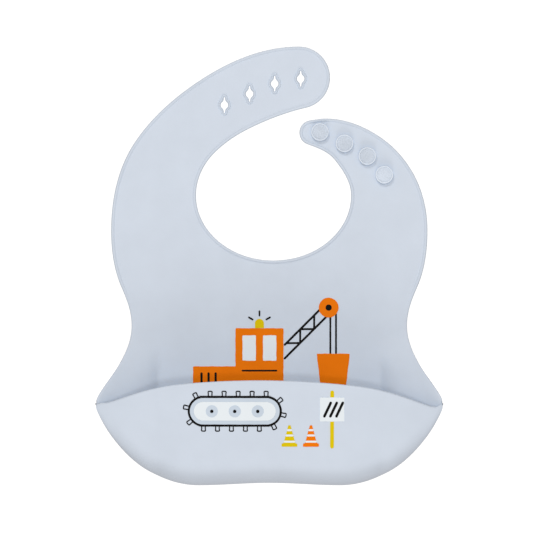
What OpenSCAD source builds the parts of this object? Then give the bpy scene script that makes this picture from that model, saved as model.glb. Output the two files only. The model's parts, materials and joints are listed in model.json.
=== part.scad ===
// Moulded silicone baby bib, upright as worn, front towards -Y, +Z up.
// The origin is the neck opening's centre on the back face. Lengths in mm.
// One soft sheet with a raised edge bead: a chest, two neck straps that
// close with knobs and slots, and a scoop pocket with folded-forward wings.
// Slits mark the lines where the sheet bends, so each stretch is a solid.

/* [Sheet] */
// Thickness of the moulded sheet
sheet_t = 1.8; // [1.4:0.1:2.2]
// Thickness at the raised bead that runs round every edge
bead_t = 2.6; // [2.2:0.1:3.2]
// Width of the raised edge bead
bead_w = 2.2; // [1.6:0.1:3.0]
// Height of the printed silicone ink
ink_t = 0.25; // [0.15:0.05:0.4]

/* [Neck] */
// Half the width of the neck opening
neck_rx = 54.9; // [53:0.1:56]
// Depth of the neck opening below its centre
neck_rz = 46; // [43:0.5:48]

/* [Body] */
// Sideways place of the body's middle, from the neck's middle
body_x = -3; // [-4:0.5:-2]
// Half width at the shoulders
shoulder_half = 112; // [109:0.5:114]
// Half width at the waist
waist_half = 97.5; // [94:0.5:100]
// Height of the waist's narrowest line
waist_z = -92; // [-96:0.5:-88]
// Half width at the pocket's corners
corner_half = 122.4; // [120:0.2:125]
// Height of the pocket's corners
corner_z = -146; // [-148:0.5:-144]
// Height of the lower edge at the middle
bottom_z = -203.3; // [-205:0.1:-200]

/* [Pocket] */
// Half width of the flat back panel, between the two wing creases
crease_half = 83; // [78:0.5:88]
// Height where the wings start to fold forward
wing_top = -88; // [-92:1:-84]
// Angle that the wings fold forward at the corners
wing_angle = 33; // [28:1:36]
// Height of the lip at the middle
lip_top = -130; // [-133:0.5:-127]
// How far the lip falls towards the corners
lip_fall = 18; // [16:0.5:20]
// Depth of the lip in front of the back face at the middle
lip_depth = 44; // [38:1:50]
// Depth of the lip at the corners
lip_corner_depth = 28.5; // [27:0.5:30]
// Height of the rounded pocket floor
floor_r = 16; // [12:1:20]
// Share of the pocket's depth that the floor gives
floor_share = 0.65; // [0.5:0.05:0.75]
// Diameter of the bead along the lip
lip_bead_d = 2.6; // [2.2:0.1:3.2]

/* [Fastening] */
// Diameter of a button's head
button_d = 12.6; // [11:0.2:13]
// Diameter of a button's neck
button_neck_d = 8; // [6:0.2:9]
// Length of a button's neck
button_neck_h = 1.4; // [1.2:0.1:2]
// Thickness of a button's head
button_head_h = 2; // [1.5:0.1:2.5]
// Diameter of a slot's round middle
slot_w = 5.3; // [4.8:0.1:5.6]
// Length of a slot
slot_h = 11; // [10.5:0.1:12]
// Width of the narrow slit at a slot's ends
slot_end_w = 1; // [0.8:0.1:1.4]
// Height of the raised rim round a slot
rim_h = 0.45; // [0.3:0.05:0.6]

/* [Bending lines] */
// Direction of the line where the slot strap leaves the chest
slot_root = 170; // [165:1:175]
// Direction of the line where the slot strap bends again
slot_mid = 135; // [130:1:138]
// Direction of the line where the button strap leaves the chest
button_root = -2; // [-6:1:0]
// Direction of the line where the button strap bends again
button_mid = 29.3; // [29:0.1:30]
// Height of the line where the lower panel bends from the chest
bend_z = -68; // [-70:1:-66]
// Width of the slit along a bending line
slit = 1.3; // [1.2:0.1:1.6]

/* [Hidden] */
$fn = 48;
SILICONE = [0.81, 0.84, 0.88];
BEAD = [0.85, 0.88, 0.92];
ORANGE = [0.87, 0.42, 0.07];
YELLOW = [0.83, 0.74, 0.15];
WHITE = [0.9, 0.91, 0.92];
BLACK = [0.08, 0.08, 0.08];
HUB = [0.78, 0.82, 0.86];

FAR = 250;
NONE = 0.02;
STEPS = 12;
WALL_COLUMNS = 40;
FLOOR_ROWS = 7;
FRONT_ROWS = 5;
EDGE_ROOM = 3.8;
WING_ROOM = 7.5;
WING_END = -184;
CORNER_END = -176;
CORNER_CUT = 100;
CORNER_TOP = -125;
CORNER_ROOM = 2.4;
WALL_END = 118.6;
PLAY = 0.15;
RIM_IN = 0.4;
RIM_OUT = 1.6;
SLOT_FILLET = 3;
SLIT_FROM = 40;
SLIT_LONG = 90;

// ---- curves -------------------------------------------------------------
// A knot is [x, z, heading]: the curve passes it in that direction.
function way(a) = [cos(a), sin(a)];
function xz(p) = [p[0], p[1]];
function turn(a, b) = (b - a + 540) % 360 - 180;
function handle(a, b) =
    norm(xz(b) - xz(a)) / (3 * pow(cos(turn(a[2], b[2]) / 4), 2));
function bezier(p, q, r, s, t) =
    pow(1 - t, 3) * p + 3 * pow(1 - t, 2) * t * q
    + 3 * (1 - t) * t * t * r + pow(t, 3) * s;
function span(a, b, n) =
    let (h = handle(a, b))
    [for (i = [0 : n - 1])
        bezier(xz(a), xz(a) + h * way(a[2]), xz(b) - h * way(b[2]), xz(b), i / n)];
function run(knots, n = STEPS) =
    [for (i = [0 : len(knots) - 2]) each span(knots[i], knots[i + 1], n)];
function curve(knots, n = STEPS) = concat(run(knots, n), [xz(knots[len(knots) - 1])]);
function shifted(knots) = [for (k = knots) [k[0] + body_x, k[1], k[2]]];
function reversed(list) = [for (i = [len(list) - 1 : -1 : 0]) list[i]];
function mirrored(knots) = [for (k = reversed(knots)) [-k[0], k[1], -k[2]]];
function smooth(t) = let (c = min(1, max(0, t))) c * c * (3 - 2 * c);

// ---- outline ------------------------------------------------------------
SIDE = [
    [shoulder_half, -25, -90],
    [104.5, -65.5, -114],
    [waist_half, waist_z, -90],
    [108.5, -123.5, -57],
    [corner_half - 2.1, corner_z + 5, -60],
    [corner_half, corner_z, -90]];
UNDER = [
    [corner_half, corner_z, -90],
    [corner_half - 2.1, corner_z - 6, -114],
    [111, -168.8, -125],
    [84, -195.2, -149],
    [50, bottom_z - 1.7, 180],
    [0, bottom_z, 180]];
SLOT_STRAP = [
    [-shoulder_half + body_x, -25, 90],
    [-98, 38, 56],
    [-59, 76.8, 35.5],
    [18, 105.5, 0],
    [40, 83.5, -90],
    [23, 62.1, -167],
    [-18, 47, -153.5],
    [-42, 30, -135],
    [-neck_rx, 0, -90]];
BUTTON_STRAP = [
    [neck_rx, 0, 90],
    [43.5, 25, 128],
    [23.9, 36.3, 160],
    [18.3, 44.5, 90],
    [25.4, 53.1, 10],
    [37, 54.5, 0],
    [73.5, 42.8, -32.5],
    [98, 17.3, -59.5],
    [shoulder_half + body_x, -25, -90]];
NECK = [for (a = [180 : 6 : 354]) [neck_rx * cos(a), neck_rz * sin(a)]];
OUTLINE = concat(
    run(SLOT_STRAP), NECK, run(BUTTON_STRAP),
    run(shifted(SIDE)), run(shifted(UNDER)),
    run(shifted(mirrored(UNDER))), run(shifted(mirrored(SIDE))));

// The outline moved inwards by w along its own normals.
function inset(points, w) =
    let (n = len(points))
    [for (i = [0 : n - 1])
        let (
            run = points[(i + 2) % n] - points[(i + n - 2) % n],
            side = [run[1], -run[0]] / norm(run))
        points[i] + w * side];

// Tables of the sides and the lower edge, for heights and half widths.
SIDE_TABLE = [for (p = concat(curve(UNDER), reversed(curve(SIDE)))) [p[1], p[0]]];
UNDER_TABLE = [for (p = curve(UNDER)) [p[0], p[1]]];
function side_u(z) = lookup(z, SIDE_TABLE);
function under_z(u) = lookup(abs(u), UNDER_TABLE);

// ---- pocket surface -----------------------------------------------------
// u is measured sideways from the body's middle.
function fold(z) = wing_angle * smooth((wing_top - z) / (wing_top - corner_z));
function back_depth(u, z) = max(0, abs(u) - crease_half) * tan(fold(z));
LIP_SPREAD = 125;
LIP_CURVE = 1.75;
LIP_END = 7;
function lip_full(u) =
    lip_top - lip_fall * pow(sin(90 * min(1, pow(abs(u) / LIP_SPREAD, LIP_CURVE))), 2);
function lip_z(u) =
    corner_z + (lip_full(u) - corner_z) * smooth((corner_half - abs(u)) / LIP_END);
function lip_y(u) =
    lip_corner_depth + (lip_depth - lip_corner_depth)
    * pow(max(0, 1 - pow(u / corner_half, 2)), 0.8);
function wall_high(u) = lip_z(u) - lip_bead_d - PLAY - under_z(u);
function floor_high(u) = min(floor_r, 0.6 * wall_high(u));
function reach(u, share, h) =
    let (start = back_depth(u, under_z(u)), more = lip_y(u) - start)
    start + more * (floor_share * share + (1 - floor_share) * h / wall_high(u));

// A point of the wall's outer face: s runs 0 to 1 up the rounded floor
// and 1 to 2 up the front.
function wall(u, s) =
    let (
        f = floor_high(u),
        h = s < 1 ? f * (1 - cos(90 * s)) : f + (wall_high(u) - f) * (s - 1),
        share = s < 1 ? sin(90 * s) : 1)
    [u + body_x, -reach(u, share, h), under_z(u) + h];
function wall_normal(u, s) =
    let (
        across = wall(u + 0.5, s) - wall(u - 0.5, s),
        up = wall(u, min(2, s + 0.02)) - wall(u, max(0, s - 0.02)),
        n = cross(across, up))
    n / norm(n);
function wall_inside(u, s) = wall(u, s) - sheet_t * wall_normal(u, s);

// The outer face's depth at a height z on the front.
function front_y(x, z) =
    let (
        u = x - body_x,
        h = z - under_z(u),
        t = min(1, h / floor_high(u)))
    -reach(u, sqrt(1 - pow(1 - t, 2)), h);

// ---- solids from grids --------------------------------------------------
// A closed solid between two grids of points; a ring joins its two ends.
module block(outer, inner, ring = false) {
    m = len(outer);
    n = len(outer[0]);
    rows = ring ? m : m - 1;
    id = function (k, i, j) k * m * n + (i % m) * n + j;
    quad = function (a, b, c, d) [[a, b, c], [a, c, d]];
    skin = [for (i = [0 : rows - 1], j = [0 : n - 2]) each concat(
        quad(id(0, i, j), id(0, i, j + 1), id(0, i + 1, j + 1), id(0, i + 1, j)),
        quad(id(1, i, j), id(1, i + 1, j), id(1, i + 1, j + 1), id(1, i, j + 1)))];
    sides = [for (i = [0 : rows - 1]) each concat(
        quad(id(0, i, 0), id(0, i + 1, 0), id(1, i + 1, 0), id(1, i, 0)),
        quad(id(0, i, n - 1), id(1, i, n - 1),
            id(1, i + 1, n - 1), id(0, i + 1, n - 1)))];
    ends = ring ? [] : [for (j = [0 : n - 2]) each concat(
        quad(id(0, 0, j), id(1, 0, j), id(1, 0, j + 1), id(0, 0, j + 1)),
        quad(id(0, m - 1, j), id(0, m - 1, j + 1),
            id(1, m - 1, j + 1), id(1, m - 1, j)))];
    polyhedron(
        points = [for (grid = [outer, inner], row = grid, p = row) p],
        faces = concat(skin, sides, ends));
}

// A flat plate with its outline in x and z, from depth a to depth b.
module plate(a, b) {
    rotate([90, 0, 0])
        translate([0, 0, a])
            linear_extrude(b - a)
                children();
}

// ---- flat stretches of the sheet ----------------------------------------
module slit_bar(a) {
    rotate(a)
        translate([SLIT_FROM, -slit / 2])
            square([SLIT_LONG, slit]);
}

module slits() {
    for (a = [slot_root, slot_mid, button_root, button_mid])
        slit_bar(a);
    translate([-FAR / 2, bend_z - slit / 2])
        square([FAR, slit]);
}

// The part of the sheet inside a region, with its raised edge bead.
module moulded(region) {
    plate(0, sheet_t)
        difference() {
            intersection() {
                polygon(OUTLINE);
                polygon(region);
            }
            slits();
            children();
        }
    plate(sheet_t, bead_t)
        difference() {
            intersection() {
                polygon(OUTLINE);
                polygon(region);
            }
            polygon(inset(OUTLINE, bead_w));
            slits();
        }
}

// Two points that part the strap tips from each other.
TIP_GAP = [[8, 52], [100, 80]];

module chest_panel() {
    color(SILICONE)
        moulded([[0, 0], FAR * way(slot_root), [-FAR, bend_z],
            [FAR, bend_z], FAR * way(button_root)]);
}

module slot_strap_base() {
    color(SILICONE)
        moulded([[0, 0], FAR * way(slot_mid), FAR * way(slot_root)]);
}

module slot_strap_end() {
    color(SILICONE)
        moulded([[0, 0], TIP_GAP[0], TIP_GAP[1], [FAR, FAR], FAR * way(slot_mid)])
            at_slots()
                polygon(slot_shape());
}

module button_strap_base() {
    color(SILICONE)
        moulded([[0, 0], FAR * way(button_root), FAR * way(button_mid)]);
}

module button_strap_end() {
    color(SILICONE)
        moulded([[0, 0], FAR * way(button_mid), TIP_GAP[1], TIP_GAP[0]]);
}

// ---- fastening ----------------------------------------------------------
SLOTS = [[-34.8, 64], [-17, 72], [0.8, 79.2], [19.2, 82.7]];
BUTTONS = [[32.8, 44.8], [50.1, 36.8], [66.3, 27.8], [78.3, 14.6]];

// A slot: a round middle that narrows to a slit above and below it.
function slot_shape() =
    let (
        r = slot_w / 2,
        t = slot_end_w / 2,
        neck = sqrt(pow(r + SLOT_FILLET, 2) - pow(t + SLOT_FILLET, 2)),
        aim = acos((t + SLOT_FILLET) / (r + SLOT_FILLET)),
        quarter = run([
            [0, slot_h / 2, 0],
            [t, slot_h / 2 - t, -90],
            [t, neck, -90],
            [r * cos(aim), r * sin(aim), aim - 90],
            [r, 0, -90]], 5))
    concat(
        quarter,
        [for (p = reversed(quarter)) [p[0], -p[1]]],
        [for (i = [1 : len(quarter) - 1]) -quarter[i]],
        [for (i = [len(quarter) - 1 : -1 : 1]) [-quarter[i][0], quarter[i][1]]]);

module at_slots() {
    for (p = SLOTS)
        translate(p)
            children();
}

module slot_rims() {
    color(BEAD)
        plate(sheet_t, sheet_t + rim_h)
            at_slots()
                difference() {
                    offset(RIM_OUT)
                        polygon(slot_shape());
                    offset(RIM_IN)
                        polygon(slot_shape());
                }
}

// A knob: a neck, and a wider flat head with rounded edges and a thin rim.
module button(i) {
    r = button_d / 2;
    top = button_neck_h + button_head_h;
    under_edge = 0.6;
    top_edge = 0.5;
    rim_w = 0.8;
    rim_up = 0.3;
    color(BEAD)
        translate([BUTTONS[i][0], -sheet_t, BUTTONS[i][1]])
            rotate([90, 0, 0])
                rotate_extrude()
                    polygon([
                        [0, 0],
                        [button_neck_d / 2, 0],
                        [button_neck_d / 2, button_neck_h],
                        [r - under_edge, button_neck_h],
                        [r, button_neck_h + under_edge],
                        [r, top - top_edge],
                        [r - top_edge, top],
                        [r - top_edge - rim_w, top],
                        [r - top_edge - rim_w - 0.2, top - rim_up],
                        [0, top - rim_up]]);
}

// ---- scoop --------------------------------------------------------------
module waist_panel() {
    low = bottom_z - 5;
    color(SILICONE) {
        moulded([[-FAR, bend_z], [FAR, bend_z], [FAR, wing_top], [-FAR, wing_top]]);
        plate(0, sheet_t)
            intersection() {
                polygon(inset(OUTLINE, EDGE_ROOM));
                translate([body_x - crease_half + PLAY, low])
                    square([2 * (crease_half - PLAY), wing_top - low]);
            }
    }
}

// A stretch of a folded wing between two heights, from u0 to u1(z).
module wing_sheet(side, z_list, u0, u1, columns) {
    grid = function (front) [for (z = z_list) [for (j = [0 : columns])
        let (
            u = u0 + (u1(z) - u0) * j / columns,
            thick = front ? sheet_t / cos(fold(z)) : 0)
        [side * u + body_x, -back_depth(u, z) - thick, z]]];
    if (side > 0)
        block(grid(true), grid(false));
    else
        block(grid(false), grid(true));
}

function steps(a, b, n) = [for (i = [0 : n]) a + (b - a) * i / n];

module wing(side) {
    color(SILICONE) {
        wing_sheet(side, steps(wing_top - PLAY, CORNER_TOP, 8), crease_half + PLAY,
            function (z) side_u(z) - NONE, 3);
        wing_sheet(side, steps(CORNER_TOP, WING_END, 10), crease_half + PLAY,
            function (z) min(CORNER_CUT, side_u(z) - WING_ROOM), 2);
    }
}

module corner(side) {
    color(SILICONE)
        wing_sheet(side, steps(CORNER_TOP - CORNER_ROOM, CORNER_END, 12), CORNER_CUT + 1,
            function (z) side_u(z) - NONE - 2.5 * smooth((corner_z - z) / 4), 2);
}

COLUMNS = [for (i = [-WALL_COLUMNS / 2 : WALL_COLUMNS / 2])
    WALL_END * sin(90 * i / (WALL_COLUMNS / 2))];

module wall_stretch(s0, s1, rows) {
    color(SILICONE)
        block(
            [for (u = COLUMNS) [for (s = steps(s0, s1, rows)) wall(u, s)]],
            [for (u = COLUMNS) [for (s = steps(s0, s1, rows)) wall_inside(u, s)]]);
}

module pocket_floor() {
    wall_stretch(0, 1, FLOOR_ROWS);
}

module pocket_front() {
    wall_stretch(1, 2, FRONT_ROWS);
}

// The round bead along the lip, as a tube of ten sides.
module lip_bead() {
    sides = 10;
    r = lip_bead_d / 2;
    n = len(COLUMNS);
    at = function (u) (wall(u, 2) + wall_inside(u, 2)) / 2 + [0, 0, r + PLAY / 2];
    rings = [for (u = COLUMNS) [for (k = [0 : sides - 1])
        at(u) + r * [0, cos(360 * k / sides), sin(360 * k / sides)]]];
    color(BEAD)
        polyhedron(
            points = [for (ring = rings, p = ring) p],
            faces = concat(
                [[for (k = [0 : sides - 1]) k]],
                [[for (k = [sides - 1 : -1 : 0]) (n - 1) * sides + k]],
                [for (i = [0 : n - 2], k = [0 : sides - 1])
                    let (a = i * sides, b = a + sides, m = (k + 1) % sides)
                    each [[a + k, b + k, b + m], [a + k, b + m, a + m]]]));
}

// ---- printed digger on the panel ----------------------------------------
WINDOWS = [for (x = [-22, -7.5])
    [[x, -99], [x + 9.5, -99], [x + 9.5, -117], [x, -117]]];
CAB = [[-27, -94], [7, -94], [7, -137], [-57, -137], [-57, -121], [-27, -121]];
BEACON = [-10, -90.6];
BEACON_R = 3.2;
PULLEY = [39, -79.4];
PULLEY_R = 7;
HUB_R = 2.2;
BUCKET = [[30.5, -112], [54, -112], [51, -137], [33.5, -137]];
BOOM_AIM = 45;
BOOM_HALF = 3.4;
BOOM_BAY = 7;

// A point of the boom: how far from the pulley, and on which side.
boom_at = function (s, side)
    PULLEY - s * way(BOOM_AIM) + side * BOOM_HALF * way(BOOM_AIM + 90);

// Straight strokes: [from, to, width].
RAYS = [for (aim = [30, 90, 150])
    [BEACON + 5.6 * way(aim), BEACON + 8.6 * way(aim), 1.2]];
CAB_STROKES = concat(
    [for (x = [-51, -46, -41]) [[x, -126], [x, -132], 1.6]],
    [[[-22, -124], [2, -124], 1.2]]);
BOOM = concat(
    [[boom_at(40.5, 1), boom_at(6, 1), 1.5], [boom_at(47.4, -1), boom_at(6, -1), 1.5]],
    [for (k = [0 : 3])
        let (side = k % 2 == 0 ? 1 : -1, s = 39 - k * BOOM_BAY)
        [boom_at(s, side), boom_at(s - BOOM_BAY, -side), 1.4]]);
CABLES = [for (x = [40.2, 44.2]) [[x, -84], [x, -113], 1.3]];

// A layer of ink on the flat sheet, or on the layer below it.
module printed(layer = 0) {
    plate(sheet_t + NONE + layer * ink_t, sheet_t + (layer + 1) * ink_t)
        children();
}

// Straight marks with round ends.
module strokes(list) {
    for (s = list)
        stroke(s[0], s[1], s[2]);
}

module stroke(a, b, w) {
    along = b - a;
    aim = atan2(along[1], along[0]);
    polygon(concat(
        [for (k = [-3 : 3]) b + w / 2 * way(aim + 30 * k)],
        [for (k = [-3 : 3]) a + w / 2 * way(aim + 180 + 30 * k)]));
}

module print_cab() {
    color(ORANGE)
        printed()
            difference() {
                polygon(CAB);
                for (w = WINDOWS)
                    polygon(w);
            }
}

module print_windows() {
    color(WHITE)
        printed()
            for (w = WINDOWS)
                polygon(inset_corners(w));
}

// A four-sided pane drawn in a little from its frame.
function inset_corners(w) =
    let (mid = (w[0] + w[1] + w[2] + w[3]) / 4)
    [for (p = w) mid + 0.995 * (p - mid)];

module print_marks() {
    color(BLACK) {
        printed(1)
            strokes(CAB_STROKES);
        printed()
            strokes(RAYS);
    }
}

module print_beacon() {
    foot = 3.3;
    color(YELLOW)
        printed()
            translate(BEACON) {
                intersection() {
                    circle(BEACON_R);
                    translate([-BEACON_R, 0])
                        square([2 * BEACON_R, BEACON_R]);
                }
                translate([-BEACON_R, -foot])
                    square([2 * BEACON_R, foot]);
            }
}

module print_boom() {
    color(BLACK)
        printed()
            difference() {
                strokes(BOOM);
                pulley_room();
                offset(0.05)
                    polygon(CAB);
            }
}

module pulley_room() {
    translate(PULLEY)
        circle(PULLEY_R + 0.1);
}

module print_pulley() {
    color(ORANGE)
        printed()
            translate(PULLEY)
                difference() {
                    circle(PULLEY_R);
                    circle(HUB_R + 0.05);
                }
}

module print_pulley_hub() {
    color(BLACK)
        printed()
            translate(PULLEY)
                circle(HUB_R);
}

module print_cables() {
    color(BLACK)
        printed()
            difference() {
                strokes(CABLES);
                pulley_room();
                offset(0.05)
                    polygon(BUCKET);
            }
}

module print_bucket() {
    color(ORANGE)
        printed()
            polygon(BUCKET);
}

// ---- printed track, cones and board on the pocket -----------------------
TRACK = [-27.1, -151.1];
TRACK_TILT = 0;
TRACK_HALF = 32.8;
TRACK_R = 10.8;
CLEATS = 16;

// A solid layer of ink on the curved front, from a grid of [x, z] points.
module ink(grid, ring = false) {
    lifted = function (d) [for (row = grid) [for (p = row)
        [p[0], front_y(p[0], p[1]) - d, p[1]]]];
    block(lifted(NONE), lifted(ink_t), ring);
}

function tilted(p) =
    TRACK + p[0] * way(TRACK_TILT) + p[1] * way(TRACK_TILT + 90);

// A point of a round-ended bar's edge, t from 0 to 1 round it.
function capsule(t, half, r) =
    let (
        run = 2 * (half - r),
        total = 2 * run + 2 * PI * r,
        d = t * total,
        arc = PI * r)
    d < run ? [d - run / 2, r]
    : d < run + arc ? [run / 2, 0] + r * way(90 - (d - run) / r * 180 / PI)
    : d < 2 * run + arc ? [run / 2 - (d - run - arc), -r]
    : [-run / 2, 0] + r * way(270 - (d - 2 * run - arc) / r * 180 / PI);

// A filled round-ended bar as columns of points across it.
function bar_grid(half, r, n = 16) =
    [for (i = [0 : n])
        let (
            x = -half + 0.05 + 2 * (half - 0.05) * (1 - cos(180 * i / n)) / 2,
            over = max(0, abs(x) - (half - r)),
            y = sqrt(r * r - over * over))
        [for (v = [-1, -0.33, 0.33, 1]) tilted([x, -y * v])]];

module print_track() {
    n = 44;
    color(BLACK) {
        ink([for (i = [0 : n - 1])
            [tilted(capsule(i / n, TRACK_HALF, TRACK_R)),
                tilted(capsule(i / n, TRACK_HALF - 1.5, TRACK_R - 1.5))]], true);
        for (i = [0 : CLEATS - 1])
            cleat((i + 0.5) / CLEATS);
    }
}

// One open square cleat that stands on the track's outer edge.
module cleat(t) {
    a = capsule(t, TRACK_HALF, TRACK_R);
    b = capsule(t, TRACK_HALF + 0.15, TRACK_R + 0.15);
    out = (b - a) / norm(b - a);
    side = [out[1], -out[0]];
    corner = function (w, h) tilted(b + w * side + h * out);
    ink([[corner(-1.6, 0), corner(-0.8, 0)],
        [corner(-1.4, 3.4), corner(-0.7, 2.6)],
        [corner(1.4, 3.4), corner(0.7, 2.6)],
        [corner(1.6, 0), corner(0.8, 0)]]);
}

// Discs on the track: three hubs, each with a dark middle.
HUBS = [for (x = [-16, 0, 16]) [[x, 0], 4.2]];

module disc(p, r0, r1, n = 20) {
    ink([for (i = [0 : n - 1])
        [tilted(p + r1 * way(-360 * i / n)), tilted(p + r0 * way(-360 * i / n))]], true);
}

module print_track_band() {
    n = 44;
    color(HUB)
        ink([for (i = [0 : n - 1])
            [tilted(capsule(i / n, TRACK_HALF - 1.6, TRACK_R - 1.6)),
                tilted(capsule(i / n, TRACK_HALF - 4, TRACK_R - 4))]], true);
}

module print_track_fill() {
    color(WHITE)
        ink(bar_grid(TRACK_HALF - 4.2, TRACK_R - 4.2));
}

module print_hubs() {
    color(HUB)
        translate([0, -ink_t, 0])
            for (h = HUBS)
                disc(h[0], 1.3, h[1]);
}

module print_hub_dots() {
    color(BLACK)
        translate([0, -ink_t, 0])
            for (h = HUBS)
                disc(h[0], 0.1, 1.2, 12);
}

// A traffic cone: bands up a tapered body, from its base's middle.
module cone_bands(base, lean, wide, high, shown) {
    along = high * way(90 + lean);
    across = way(lean);
    edge = [0, 0.16, 0.32, 0.46, 0.6, 0.72, 0.84, 1];
    half = function (t) wide * (t < 0.15 ? 0.5 : 0.36 * (1 - t) + 0.07);
    for (i = [0 : len(edge) - 2])
        if (i % 2 == shown)
            ink([for (t = [edge[i] + 0.004, edge[i + 1] - 0.004])
                [base + t * along - half(t) * across,
                    base + t * along + half(t) * across]]);
}

YELLOW_CONE = [[11, -176], 0, 11, 15];
ORANGE_CONE = [[26, -176], 0, 11, 15];

module print_yellow_cone() {
    color(YELLOW)
        cone_bands(YELLOW_CONE[0], YELLOW_CONE[1], YELLOW_CONE[2], YELLOW_CONE[3], 0);
}

module print_orange_cone() {
    color(ORANGE)
        cone_bands(ORANGE_CONE[0], ORANGE_CONE[1], ORANGE_CONE[2], ORANGE_CONE[3], 0);
}

module print_cone_stripes() {
    color(WHITE)
        for (c = [YELLOW_CONE, ORANGE_CONE])
            cone_bands(c[0], c[1], c[2], c[3], 1);
}

// The signboard on its post.
BOARD_X = [32.2, 49.2];
BOARD_Z = [-141.4, -158.3];
NUB = [[[39.5, -141.1], [41.9, -141.1]], [[39.5, -137.9], [41.9, -137.9]]];
SHAFT = [[[39.3, -176], [42.1, -176]], [[39.3, -158.6], [42.1, -158.6]]];

module print_post() {
    between = function (t) [for (k = [0, 1])
        SHAFT[0][k] + (SHAFT[1][k] - SHAFT[0][k]) * t];
    color(YELLOW) {
        ink(NUB);
        ink([for (t = steps(0, 1, 3)) between(t)]);
    }
}

module print_board() {
    color(WHITE)
        ink([for (x = steps(BOARD_X[0], BOARD_X[1], 3))
            [for (z = steps(BOARD_Z[0], BOARD_Z[1], 3)) [x, z]]]);
}

// Three plain slanted bars on the board.
module print_board_marks() {
    w = 1.8;
    slant = 4.4;
    foot = -154.6;
    head = -145.2;
    color(BLACK)
        translate([0, -ink_t, 0])
            for (x = [35.3, 39.5, 43.7])
                ink([[[x - w / 2, foot], [x + w / 2, foot]],
                    [[x + slant - w / 2, head], [x + slant + w / 2, head]]]);
}

chest_panel();
slot_strap_base();
slot_strap_end();
slot_rims();
button_strap_base();
button_strap_end();
button(0);  // button_1
button(1);  // button_2
button(2);  // button_3
button(3);  // button_4
waist_panel();
wing(-1);  // wing_left
wing(1);  // wing_right
corner(-1);  // corner_left
corner(1);  // corner_right
pocket_floor();
pocket_front();
lip_bead();
print_cab();
print_windows();
print_marks();
print_beacon();
print_boom();
print_pulley();
print_pulley_hub();
print_cables();
print_bucket();
print_track();
print_track_band();
print_track_fill();
print_hubs();
print_hub_dots();
print_yellow_cone();
print_orange_cone();
print_cone_stripes();
print_post();
print_board();
print_board_marks();
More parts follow.
